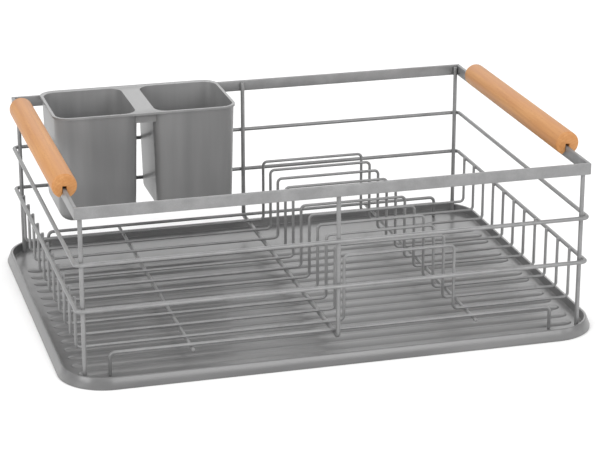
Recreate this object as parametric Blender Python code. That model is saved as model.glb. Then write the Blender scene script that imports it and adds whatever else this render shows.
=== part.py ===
"""Wire dish drying rack with wooden handles, a twin cutlery holder and a drip tray.

The origin is the middle of the tray's underside. X runs along the rack, Y points to the
back, where the cutlery holder hangs, and Z points up. All lengths are in metres.
"""

import math

import bmesh
import bpy

MM = 0.001

# ---- driving dimensions ---------------------------------------------------------------
WELD_GAP = 0.3 * MM             # clearance left between pieces that touch

RACK_LENGTH = 440.0 * MM        # rim, outer face to outer face along X
RACK_DEPTH = 334.0 * MM         # rim, outer face to outer face along Y
RIM_TOP = 153.5 * MM            # top edge of the rim above the table
BAR_HEIGHT = 10.0 * MM          # flat rim bar on edge
BAR_THICKNESS = 3.0 * MM
BAR_EDGE = 0.5 * MM             # eased edges of the bars

POST_DIAMETER = 3.8 * MM        # corner posts and the bent middle wire
LOOP_DIAMETER = 3.5 * MM        # the two loops round the basket
CROSS_DIAMETER = 3.0 * MM       # cross wires and foot wires
PLATE_WIRE_DIAMETER = 2.6 * MM  # formed wires that hold the plates

UPPER_LOOP_DROP = 48.8 * MM     # centre of the upper loop below the rim's top edge
LOWER_LOOP_DROP = 88.5 * MM     # centre of the lower loop below the rim's top edge
LOOP_CORNER_RADIUS = 5.0 * MM
LOOP_END_CLEARANCE = 1.7 * MM   # between a post and the end runs of the loops
POST_TOP_DROP = 1.5 * MM        # post top below the rim's top edge

PLATE_WIRE_COUNT = 11
PLATE_WIRE_INSET = 32.0 * MM    # first and last formed wires, in from the rim's outer face
PLATE_WIRE_LEVEL = 22.0 * MM    # centre of the basket's floor wires above the table
HOOP_LEFT = 13.0 * MM           # left legs of the plate hoops, from the middle of the rack
HOOP_WIDTH = 98.0 * MM
HOOP_HEIGHT = 58.0 * MM         # centre of the hoops' tops above the floor wires
HOOP_CORNER_RADIUS = 6.0 * MM
FLOOR_BEND_RADIUS = 4.0 * MM
COMB_OVERRUN = 2.0 * MM         # comb tops above the centre of the lower loop

CROSS_WIRE_OFFSET = 123.5 * MM  # cross wires left and right of the middle
CROSS_WIRE_OVERRUN = 5.0 * MM   # cross wires past the centres of the foot wires
FOOT_WIRE_INSET = 13.0 * MM     # foot wires in from the rim's outer face
FOOT_LEG_INSET = 27.5 * MM      # legs of the foot wires in from the rim's ends
FOOT_BEND_RADIUS = 4.5 * MM
MIDDLE_BEND_RADIUS = 4.0 * MM

HANDLE_DIAMETER = 21.0 * MM
HANDLE_END_GAP = 50.0 * MM      # bare side bar at each end of a handle
HANDLE_RISE = 2.5 * MM          # dowel axis, and the end of its slot, above the rim's top edge
SLOT_MOUTH = 4.0 * MM           # height of the flare at the open edge of the slot
HANDLE_END_BEVEL = 1.2 * MM

TRAY_END_MARGIN = 14.0 * MM     # tray past the rim at each end
TRAY_SIDE_MARGIN = 12.5 * MM    # tray past the rim in front and behind
TRAY_HEIGHT = 9.5 * MM
TRAY_FLOOR = 2.0 * MM           # thickness of the tray's floor
TRAY_CORNER_RADIUS = 41.0 * MM
TRAY_WALL_WIDTH = 5.6 * MM      # from the tray's outline to the inner edge of its lip
TRAY_WALL_DRAFT = 3.4 * MM      # how far the outer wall leans in at its top
TRAY_FOOT_BEVEL = 1.0 * MM
TRAY_LIP_ROLL = 0.6 * MM        # eased outer and inner edges of the lip
TRAY_FILLET = 0.8 * MM          # between the inner wall and the floor
TRAY_INNER_DRAFT = 0.4 * MM
RIB_PITCH = 18.0 * MM
RIB_WIDTH = 12.0 * MM
RIB_HEIGHT = 1.5 * MM
RIB_FRONT_MARGIN = 23.4 * MM    # flat band between the front wall and the first rib
RIB_REAR_MARGIN = 57.4 * MM     # flat band between the last rib and the rear wall
RIB_END_MARGIN = 8.4 * MM       # channel between the rib ends and the tray's side walls

CUP_WIDTH = 76.0 * MM           # one cup, outside, under the flange
CUP_DEPTH = 89.5 * MM
CUP_HEIGHT = 98.0 * MM          # cup bottom below the flange's underside
CUP_WALL = 1.4 * MM
CUP_TAPER = 2.5 * MM            # how far each wall leans in at the bottom
CUP_CORNER_RADIUS = 14.0 * MM
CUP_BOTTOM_RADIUS = 10.0 * MM
CUP_SPACING = 90.5 * MM         # centre to centre of the two cups
HOLDER_END_GAP = 25.0 * MM      # flange in from the rim's left end
FLANGE_THICKNESS = 2.2 * MM
FLANGE_OVERHANG = 1.2 * MM
FLANGE_CORNER_RADIUS = 15.2 * MM
WEB_DEPTH = 9.0 * MM            # stiffening webs under the bridge between the cups
WEB_THICKNESS = 2.0 * MM
WEB_INSET = 7.0 * MM            # webs behind the front and rear faces of the cups
HOOK_THICKNESS = 1.6 * MM
HOOK_DEPTH = 7.0 * MM           # hook behind the rear rim bar, below the flange
HOOK_END_MARGIN = 22.0 * MM

WIRE_STEPS = 4                  # segments in each right-angle bend
CORNER_STEPS = 7                # segments in each rounded corner of a moulding
RIB_STEPS = 6                   # segments across a rib
ROLL_STEPS = 4                  # segments round the bottom edge of a cup
DOWEL_SIDES = 32
SHARP_ANGLE = math.radians(35)  # edges steeper than this stay sharp

# ---- sizes that follow from them -------------------------------------------------------
HALF_LENGTH = RACK_LENGTH / 2
HALF_DEPTH = RACK_DEPTH / 2
BAR_INNER_Y = HALF_DEPTH - BAR_THICKNESS
POST_X = HALF_LENGTH - BAR_THICKNESS - WELD_GAP - POST_DIAMETER / 2
POST_Y = BAR_INNER_Y - WELD_GAP - POST_DIAMETER / 2
LOOP_Y = POST_Y + POST_DIAMETER / 2 + WELD_GAP + LOOP_DIAMETER / 2
LOOP_X = POST_X + POST_DIAMETER / 2 + LOOP_END_CLEARANCE + LOOP_DIAMETER / 2
UPPER_LOOP_LEVEL = RIM_TOP - UPPER_LOOP_DROP
LOWER_LOOP_LEVEL = RIM_TOP - LOWER_LOOP_DROP
COMB_X = LOOP_X - LOOP_DIAMETER / 2 - WELD_GAP - PLATE_WIRE_DIAMETER / 2
CROSS_LEVEL = PLATE_WIRE_LEVEL - (PLATE_WIRE_DIAMETER + CROSS_DIAMETER) / 2 - WELD_GAP
FOOT_LEVEL = CROSS_LEVEL + CROSS_DIAMETER + WELD_GAP
MIDDLE_LEVEL = min(PLATE_WIRE_LEVEL - PLATE_WIRE_DIAMETER / 2,
                   FOOT_LEVEL - CROSS_DIAMETER / 2) - WELD_GAP - POST_DIAMETER / 2
STANDING_LEVEL = TRAY_FLOOR + WELD_GAP
PLATE_WIRE_REACH = HALF_DEPTH - PLATE_WIRE_INSET
FOOT_WIRE_Y = HALF_DEPTH - FOOT_WIRE_INSET
FOOT_LEG_X = HALF_LENGTH - FOOT_LEG_INSET
HANDLE_LENGTH = RACK_DEPTH - 2 * HANDLE_END_GAP
TRAY_LENGTH = RACK_LENGTH + 2 * TRAY_END_MARGIN
TRAY_DEPTH = RACK_DEPTH + 2 * TRAY_SIDE_MARGIN
FLANGE_UNDERSIDE = RIM_TOP + WELD_GAP
FLANGE_TOP = FLANGE_UNDERSIDE + FLANGE_THICKNESS
CUP_BACK_Y = BAR_INNER_Y - WELD_GAP - FLANGE_OVERHANG * 0.5
CUP_CENTRE_Y = CUP_BACK_Y - CUP_DEPTH / 2
HOOK_INNER_Y = HALF_DEPTH + WELD_GAP
HOLDER_HALF_LENGTH = (CUP_SPACING + CUP_WIDTH) / 2 + FLANGE_OVERHANG
HOLDER_CENTRE_X = HOLDER_END_GAP + HOLDER_HALF_LENGTH - HALF_LENGTH


# ---- helpers ---------------------------------------------------------------------------
def clear_scene():
    """Remove every object, mesh, curve and material of the open file."""
    for collection in (bpy.data.objects, bpy.data.meshes, bpy.data.curves, bpy.data.materials):
        for item in list(collection):
            collection.remove(item)


def make_material(name, colour, roughness, metallic=0.0):
    """Return a Principled material of one colour."""
    material = bpy.data.materials.new(name)
    material.use_nodes = True
    shader = material.node_tree.nodes["Principled BSDF"]
    shader.inputs["Base Color"].default_value = (*colour, 1.0)
    shader.inputs["Roughness"].default_value = roughness
    shader.inputs["Metallic"].default_value = metallic
    return material


def link_object(name, data, material):
    """Put a mesh or curve into the scene as an object with one material."""
    item = bpy.data.objects.new(name, data)
    bpy.context.scene.collection.objects.link(item)
    item.data.materials.append(material.copy())
    return item


def mesh_object(name, shape, material, smooth=True):
    """Turn a bmesh into an object, with its faces pointing outwards."""
    bmesh.ops.recalc_face_normals(shape, faces=shape.faces)
    mesh = bpy.data.meshes.new(name)
    shape.to_mesh(mesh)
    shape.free()
    if smooth:
        mesh.shade_smooth()
        mesh.set_sharp_from_angle(angle=SHARP_ANGLE)
    return link_object(name, mesh, material)


def rounded_path(corners, radii, steps=WIRE_STEPS, closed=False):
    """Return the points of a bent wire: straight runs joined by arcs at its corners.

    corners are the points where the straight runs would meet, and radii holds one bend
    radius for each corner; an open path keeps its two end points.
    """
    points = []
    count = len(corners)
    for index, corner in enumerate(corners):
        if not closed and index in (0, count - 1):
            points.append(corner)
            continue
        before, after = corners[index - 1], corners[(index + 1) % count]
        into = [a - b for a, b in zip(corner, before)]
        out = [a - b for a, b in zip(after, corner)]
        into_length, out_length = math.hypot(*into), math.hypot(*out)
        into = [value / into_length for value in into]
        out = [value / out_length for value in out]
        turn = math.acos(max(-1.0, min(1.0, sum(a * b for a, b in zip(into, out)))))
        radius = radii[index]
        reach = radius * math.tan(turn / 2)
        start = [c - reach * d for c, d in zip(corner, into)]
        normal = [b - a * math.cos(turn) for a, b in zip(into, out)]
        normal_length = math.hypot(*normal)
        normal = [value / normal_length for value in normal]
        centre = [s + radius * n for s, n in zip(start, normal)]
        for step in range(steps + 1):
            angle = turn * step / steps
            points.append(tuple(c - radius * math.cos(angle) * n + radius * math.sin(angle) * t
                                for c, n, t in zip(centre, normal, into)))
    return points


def wire(name, points, diameter, material, closed=False, sides=8):
    """Make one wire as a curve with a round bevel and closed ends."""
    curve = bpy.data.curves.new(name, "CURVE")
    curve.dimensions = "3D"
    curve.twist_mode = "MINIMUM"
    curve.bevel_depth = diameter / 2
    curve.bevel_resolution = sides // 2 - 2
    curve.use_fill_caps = not closed
    spline = curve.splines.new("POLY")
    spline.points.add(len(points) - 1)
    for point, place in zip(spline.points, points):
        point.co = (*place, 1.0)
    spline.use_cyclic_u = closed
    return link_object(name, curve, material)


def straight_post(name, x, y, bottom, top, material):
    """Make one straight upright post."""
    return wire(name, [(x, y, bottom), (x, y, top)], POST_DIAMETER, material, sides=12)


def box(name, low, high, material, bevel=0.0):
    """Make a box between two corners, with its long edges eased."""
    shape = bmesh.new()
    bmesh.ops.create_cube(shape, size=1.0)
    for vertex in shape.verts:
        vertex.co = [a + (b - a) * (v + 0.5) for a, b, v in zip(low, high, vertex.co)]
    if bevel:
        bmesh.ops.bevel(shape, geom=list(shape.edges), offset=bevel, segments=1,
                        affect="EDGES", profile=0.5)
    return mesh_object(name, shape, material, smooth=False)


def rounded_rectangle(half_x, half_y, radius, steps=CORNER_STEPS):
    """Return the outline of a rounded rectangle about the origin, anticlockwise."""
    radius = min(radius, half_x, half_y)
    outline = []
    for quarter, (sign_x, sign_y) in enumerate(((1, 1), (-1, 1), (-1, -1), (1, -1))):
        for step in range(steps + 1):
            angle = math.pi / 2 * (quarter + step / steps)
            outline.append((sign_x * (half_x - radius) + radius * math.cos(angle),
                            sign_y * (half_y - radius) + radius * math.sin(angle)))
    return outline


def loft(rings):
    """Skin a stack of outlines of equal length and cap both ends."""
    shape = bmesh.new()
    layers = [[shape.verts.new(point) for point in ring] for ring in rings]
    for lower, upper in zip(layers, layers[1:]):
        for index, vertex in enumerate(lower):
            following = (index + 1) % len(lower)
            shape.faces.new((vertex, lower[following], upper[following], upper[index]))
    shape.faces.new(list(reversed(layers[0])))
    shape.faces.new(layers[-1])
    return shape


def combine(target, tool, operation):
    """Apply a Boolean of a tool to an object and remove the tool."""
    modifier = target.modifiers.new(operation.lower(), "BOOLEAN")
    modifier.operation = operation
    modifier.solver = "EXACT"
    modifier.object = tool
    bpy.context.view_layer.update()
    graph = bpy.context.evaluated_depsgraph_get()
    mesh = bpy.data.meshes.new_from_object(target.evaluated_get(graph))
    target.modifiers.remove(modifier)
    target.data = mesh
    bpy.data.objects.remove(tool)


def shade(target):
    """Shade a finished moulding smooth, with its real edges kept sharp."""
    target.data.shade_smooth()
    target.data.set_sharp_from_angle(angle=SHARP_ANGLE)


# ---- the drip tray ---------------------------------------------------------------------
def tray_ring(inset, level):
    """Return the tray's rounded outline, set in by a distance, at one height."""
    outline = rounded_rectangle(TRAY_LENGTH / 2 - inset, TRAY_DEPTH / 2 - inset,
                                TRAY_CORNER_RADIUS - inset)
    return [(x, y, level) for x, y in outline]


def rib_half_length(y):
    """Return how far a rib reaches from the middle, following the rounded corners."""
    inset = TRAY_WALL_WIDTH + RIB_END_MARGIN
    radius = TRAY_CORNER_RADIUS - inset
    straight = TRAY_LENGTH / 2 - TRAY_CORNER_RADIUS
    past_corner = abs(y) + RIB_WIDTH / 2 - (TRAY_DEPTH / 2 - TRAY_CORNER_RADIUS)
    if past_corner <= 0:
        return straight + radius
    return straight + math.sqrt(max(0.0, radius ** 2 - past_corner ** 2))


def tray_rib(name, y, material):
    """Make one low rib of the tray's floor, rounded across and sloped at its ends."""
    half = rib_half_length(y)
    stations = ((-half, 0.0), (-half + RIB_WIDTH / 2, 1.0), (half - RIB_WIDTH / 2, 1.0), (half, 0.0))
    rings = []
    for x, swell in stations:
        ring = []
        for step in range(RIB_STEPS + 1):
            angle = math.pi * step / RIB_STEPS
            rise = RIB_HEIGHT * math.sin(angle) * swell
            ring.append((x, y + RIB_WIDTH / 2 * math.cos(angle), TRAY_FLOOR + rise))
        ring.append((x, y - RIB_WIDTH / 2, TRAY_FLOOR / 2))
        ring.append((x, y + RIB_WIDTH / 2, TRAY_FLOOR / 2))
        rings.append(ring)
    return mesh_object(name, loft(rings), material)


def build_tray(material):
    """Make the shallow tray: sloped wall, narrow lip, flat floor and its ribs."""
    inner = TRAY_WALL_WIDTH
    foot = inner + TRAY_INNER_DRAFT
    profile = (
        (TRAY_FOOT_BEVEL, 0.0),
        (0.0, TRAY_FOOT_BEVEL),
        (TRAY_WALL_DRAFT, TRAY_HEIGHT - TRAY_LIP_ROLL),
        (TRAY_WALL_DRAFT + TRAY_LIP_ROLL, TRAY_HEIGHT),
        (inner - TRAY_LIP_ROLL, TRAY_HEIGHT),
        (inner, TRAY_HEIGHT - TRAY_LIP_ROLL),
        (foot, TRAY_FLOOR + TRAY_FILLET),
        (foot + TRAY_FILLET, TRAY_FLOOR),
    )
    tray = mesh_object("drip_tray", loft([tray_ring(inset, level) for inset, level in profile]),
                       material)
    front = -TRAY_DEPTH / 2 + inner + RIB_FRONT_MARGIN + RIB_WIDTH / 2
    rear = TRAY_DEPTH / 2 - inner - RIB_REAR_MARGIN - RIB_WIDTH / 2
    count = int((rear - front) / RIB_PITCH + 1e-6) + 1
    for index in range(count):
        combine(tray, tray_rib("rib", front + index * RIB_PITCH, material), "UNION")
    shade(tray)


# ---- the basket ------------------------------------------------------------------------
def build_rim(material):
    """Make the four flat bars of the rim; the front and rear ones run full length."""
    low, high = RIM_TOP - BAR_HEIGHT, RIM_TOP
    for name, side in (("rim_bar_front", -1), ("rim_bar_rear", 1)):
        near, far = sorted((side * BAR_INNER_Y, side * HALF_DEPTH))
        box(name, (-HALF_LENGTH, near, low), (HALF_LENGTH, far, high), material, bevel=BAR_EDGE)
    reach = BAR_INNER_Y - WELD_GAP
    for name, side in (("rim_bar_left", -1), ("rim_bar_right", 1)):
        near, far = sorted((side * (HALF_LENGTH - BAR_THICKNESS), side * HALF_LENGTH))
        box(name, (near, -reach, low), (far, reach, high), material, bevel=BAR_EDGE)


def build_posts(material):
    """Make the four corner posts, which stand on the tray's floor."""
    for row, side_y in (("front", -1), ("rear", 1)):
        for end, side_x in (("left", -1), ("right", 1)):
            straight_post("corner_post_%s_%s" % (row, end), side_x * POST_X, side_y * POST_Y,
                          STANDING_LEVEL, RIM_TOP - POST_TOP_DROP, material)


def build_loops(material):
    """Make the two wire loops that run round the outside of the posts."""
    for name, level in (("upper_loop", UPPER_LOOP_LEVEL), ("lower_loop", LOWER_LOOP_LEVEL)):
        corners = [(sx * LOOP_X, sy * LOOP_Y, level) for sx, sy in ((1, 1), (-1, 1), (-1, -1), (1, -1))]
        points = rounded_path(corners, [LOOP_CORNER_RADIUS] * 4, closed=True)
        wire(name, points, LOOP_DIAMETER, material, closed=True, sides=10)


def build_middle_wire(material):
    """Make the middle wire: one rod bent into the two middle posts and a cross wire."""
    top = RIM_TOP - POST_TOP_DROP
    corners = [(0.0, -POST_Y, top), (0.0, -POST_Y, MIDDLE_LEVEL),
               (0.0, POST_Y, MIDDLE_LEVEL), (0.0, POST_Y, top)]
    points = rounded_path(corners, [MIDDLE_BEND_RADIUS] * 4)
    wire("middle_u_wire", points, POST_DIAMETER, material, sides=12)


def build_cross_wires(material):
    """Make the two straight cross wires under the basket's floor."""
    reach = FOOT_WIRE_Y + CROSS_WIRE_OVERRUN
    for name, side in (("cross_wire_left", -1), ("cross_wire_right", 1)):
        x = side * CROSS_WIRE_OFFSET
        wire(name, [(x, -reach, CROSS_LEVEL), (x, reach, CROSS_LEVEL)], CROSS_DIAMETER, material,
             sides=10)


def build_foot_wires(material):
    """Make the front and rear foot wires, whose bent ends stand on the tray's floor."""
    for name, side in (("foot_wire_front", -1), ("foot_wire_rear", 1)):
        y = side * FOOT_WIRE_Y
        corners = [(-FOOT_LEG_X, y, STANDING_LEVEL), (-FOOT_LEG_X, y, FOOT_LEVEL),
                   (FOOT_LEG_X, y, FOOT_LEVEL), (FOOT_LEG_X, y, STANDING_LEVEL)]
        wire(name, rounded_path(corners, [FOOT_BEND_RADIUS] * 4), CROSS_DIAMETER, material, sides=10)


def build_plate_wires(material):
    """Make the formed wires: comb, floor run, plate hoop, floor run and comb in one rod."""
    comb_top = LOWER_LOOP_LEVEL + COMB_OVERRUN
    hoop_right = HOOP_LEFT + HOOP_WIDTH
    hoop_top = PLATE_WIRE_LEVEL + HOOP_HEIGHT
    outline = ((-COMB_X, comb_top), (-COMB_X, PLATE_WIRE_LEVEL), (HOOP_LEFT, PLATE_WIRE_LEVEL),
               (HOOP_LEFT, hoop_top), (hoop_right, hoop_top), (hoop_right, PLATE_WIRE_LEVEL),
               (COMB_X, PLATE_WIRE_LEVEL), (COMB_X, comb_top))
    radii = [FLOOR_BEND_RADIUS] * 3 + [HOOP_CORNER_RADIUS] * 2 + [FLOOR_BEND_RADIUS] * 3
    pitch = 2 * PLATE_WIRE_REACH / (PLATE_WIRE_COUNT - 1)
    for index in range(PLATE_WIRE_COUNT):
        y = index * pitch - PLATE_WIRE_REACH
        points = rounded_path([(x, y, z) for x, z in outline], radii)
        wire("plate_wire_%02d" % (index + 1), points, PLATE_WIRE_DIAMETER, material)


def slot_cutter(bar_x, axis_level, material):
    """Make the prism that cuts a handle's slot: parallel sides and a flared open edge."""
    half = BAR_THICKNESS / 2 + WELD_GAP
    open_edge = axis_level - HANDLE_DIAMETER / 2
    outline = ((half, axis_level), (-half, axis_level), (-half, open_edge + SLOT_MOUTH),
               (-half - SLOT_MOUTH, open_edge), (-half - SLOT_MOUTH, open_edge - SLOT_MOUTH),
               (half + SLOT_MOUTH, open_edge - SLOT_MOUTH), (half + SLOT_MOUTH, open_edge),
               (half, open_edge + SLOT_MOUTH))
    rings = [[(bar_x + x, y, z) for x, z in outline] for y in (-HANDLE_LENGTH, HANDLE_LENGTH)]
    return mesh_object("slot", loft(rings), material)


def build_handle(name, side, material):
    """Make one wooden dowel, slotted from below so that it sits over the side bar."""
    shape = bmesh.new()
    bmesh.ops.create_cone(shape, cap_ends=True, segments=DOWEL_SIDES, radius1=HANDLE_DIAMETER / 2,
                          radius2=HANDLE_DIAMETER / 2, depth=HANDLE_LENGTH)
    rims = [edge for edge in shape.edges
            if abs(edge.verts[0].co.z - edge.verts[1].co.z) < HANDLE_LENGTH / 2]
    bmesh.ops.bevel(shape, geom=rims, offset=HANDLE_END_BEVEL, segments=2, affect="EDGES", profile=0.5)
    bar_x = side * (HALF_LENGTH - BAR_THICKNESS / 2)
    axis_level = RIM_TOP + HANDLE_RISE
    for vertex in shape.verts:
        x, y, z = vertex.co
        vertex.co = (bar_x + x, z, axis_level + y)
    handle = mesh_object(name, shape, material)
    slot = slot_cutter(bar_x, axis_level, material)
    combine(handle, slot, "DIFFERENCE")
    shade(handle)


# ---- the cutlery holder ----------------------------------------------------------------
def cup_solid(name, centre_x, wall, top, material):
    """Make a tapered cup shape, set in by a wall thickness, from its bottom to a height."""
    bottom = FLANGE_UNDERSIDE - CUP_HEIGHT + wall
    bottom_radius = CUP_BOTTOM_RADIUS - wall
    rings = []
    for step in range(ROLL_STEPS + 1):
        angle = math.pi / 2 * step / ROLL_STEPS
        rings.append((bottom_radius * (1 - math.sin(angle)), bottom + bottom_radius * (1 - math.cos(angle))))
    rings.append((0.0, top))
    stack = []
    for inset, level in rings:
        lean = CUP_TAPER * (FLANGE_UNDERSIDE - level) / CUP_HEIGHT
        total = wall + inset + lean
        outline = rounded_rectangle(CUP_WIDTH / 2 - total, CUP_DEPTH / 2 - total,
                                    CUP_CORNER_RADIUS - wall - inset * 0.5)
        stack.append([(centre_x + x, CUP_CENTRE_Y + y, level) for x, y in outline])
    return mesh_object(name, loft(stack), material)


def build_cutlery_holder(material):
    """Make the twin cup: flange, two tapered cups, webs under the bridge and the hook."""
    half_x = HOLDER_HALF_LENGTH
    front = CUP_CENTRE_Y - CUP_DEPTH / 2 - FLANGE_OVERHANG
    back = HOOK_INNER_Y + HOOK_THICKNESS
    outline = rounded_rectangle(half_x, (back - front) / 2, FLANGE_CORNER_RADIUS)
    middle = (front + back) / 2
    rings = [[(HOLDER_CENTRE_X + x, middle + y, level) for x, y in outline]
             for level in (FLANGE_UNDERSIDE, FLANGE_TOP)]
    holder = mesh_object("cutlery_holder", loft(rings), material)
    cup_centres = [HOLDER_CENTRE_X + side * CUP_SPACING / 2 for side in (-1, 1)]
    for centre_x in cup_centres:
        combine(holder, cup_solid("cup", centre_x, 0.0, FLANGE_UNDERSIDE + FLANGE_THICKNESS / 2,
                                  material), "UNION")
    reach = (CUP_SPACING - CUP_WIDTH) / 2 + CUP_CORNER_RADIUS * 0.7
    for web_front in (CUP_CENTRE_Y - CUP_DEPTH / 2 + WEB_INSET,
                      CUP_CENTRE_Y + CUP_DEPTH / 2 - WEB_INSET - WEB_THICKNESS):
        web = box("web", (HOLDER_CENTRE_X - reach, web_front, FLANGE_UNDERSIDE - WEB_DEPTH),
                  (HOLDER_CENTRE_X + reach, web_front + WEB_THICKNESS,
                   FLANGE_UNDERSIDE + FLANGE_THICKNESS / 2), material)
        combine(holder, web, "UNION")
    hook = box("hook", (HOLDER_CENTRE_X - half_x + HOOK_END_MARGIN, HOOK_INNER_Y,
                        FLANGE_UNDERSIDE - HOOK_DEPTH),
               (HOLDER_CENTRE_X + half_x - HOOK_END_MARGIN, HOOK_INNER_Y + HOOK_THICKNESS,
                FLANGE_UNDERSIDE + FLANGE_THICKNESS / 2), material)
    combine(holder, hook, "UNION")
    for centre_x in cup_centres:
        combine(holder, cup_solid("hollow", centre_x, CUP_WALL, FLANGE_TOP + CUP_WALL, material),
                "DIFFERENCE")
    shade(holder)


def build():
    """Build every piece of the rack."""
    clear_scene()
    steel = make_material("coated_steel", (0.32, 0.32, 0.33), 0.42, 0.35)
    plastic = make_material("grey_plastic", (0.20, 0.20, 0.20), 0.42)
    tray_plastic = make_material("tray_plastic", (0.30, 0.30, 0.31), 0.35)
    wood = make_material("beech_wood", (0.78, 0.46, 0.24), 0.55)
    build_tray(tray_plastic)
    build_rim(steel)
    build_posts(steel)
    build_loops(steel)
    build_middle_wire(steel)
    build_cross_wires(steel)
    build_foot_wires(steel)
    build_plate_wires(steel)
    build_handle("handle_left", -1, wood)
    build_handle("handle_right", 1, wood)
    build_cutlery_holder(plastic)


build()
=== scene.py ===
"""Looks of a wire dish drying rack: steel basket, beech handles, cutlery holder, drip tray.

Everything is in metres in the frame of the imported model: the origin is the middle of the
tray's underside, X runs along the rack, Y points to the back and Z points up. Each visible
piece is modelled with Blender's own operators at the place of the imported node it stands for.
"""

import logging
import math
from collections.abc import Callable, Iterator, Sequence
from contextlib import contextmanager
from dataclasses import dataclass, field
from enum import Enum

import bmesh
import bpy
from mathutils import Matrix, Vector


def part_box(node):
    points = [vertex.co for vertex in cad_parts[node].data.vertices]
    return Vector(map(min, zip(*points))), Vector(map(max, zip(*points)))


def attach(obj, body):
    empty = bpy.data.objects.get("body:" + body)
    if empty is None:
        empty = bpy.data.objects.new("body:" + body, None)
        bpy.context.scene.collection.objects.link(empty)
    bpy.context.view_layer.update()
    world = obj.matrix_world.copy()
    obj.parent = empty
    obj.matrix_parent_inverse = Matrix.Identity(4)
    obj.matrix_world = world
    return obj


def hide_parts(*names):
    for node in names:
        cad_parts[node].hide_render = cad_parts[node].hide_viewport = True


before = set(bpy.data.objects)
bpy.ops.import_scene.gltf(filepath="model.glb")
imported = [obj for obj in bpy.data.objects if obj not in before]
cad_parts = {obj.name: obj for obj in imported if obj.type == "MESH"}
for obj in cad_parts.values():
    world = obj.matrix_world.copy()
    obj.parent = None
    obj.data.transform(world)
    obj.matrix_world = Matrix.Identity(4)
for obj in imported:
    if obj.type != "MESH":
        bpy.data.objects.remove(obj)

LOG = logging.getLogger("dish_rack")
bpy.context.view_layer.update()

MM = 0.001
WELD_GAP = 0.3 * MM
SMOOTH_ANGLE = math.radians(32)
Colour = tuple[float, float, float]


class Side(Enum):
    """The two ends of the rack along X."""

    LEFT = -1
    RIGHT = 1


class Row(Enum):
    """The two long sides of the rack along Y."""

    FRONT = -1
    REAR = 1


class Body(Enum):
    """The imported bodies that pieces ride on."""

    TRAY = "tray"
    BASKET = "basket"
    HOLDER = "holder"


class Slot(Enum):
    """The record's material slots."""

    STEEL = "coated_steel"
    WOOD = "wood"
    TRAY = "tray_plastic"
    CUP = "cup_plastic"


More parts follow.
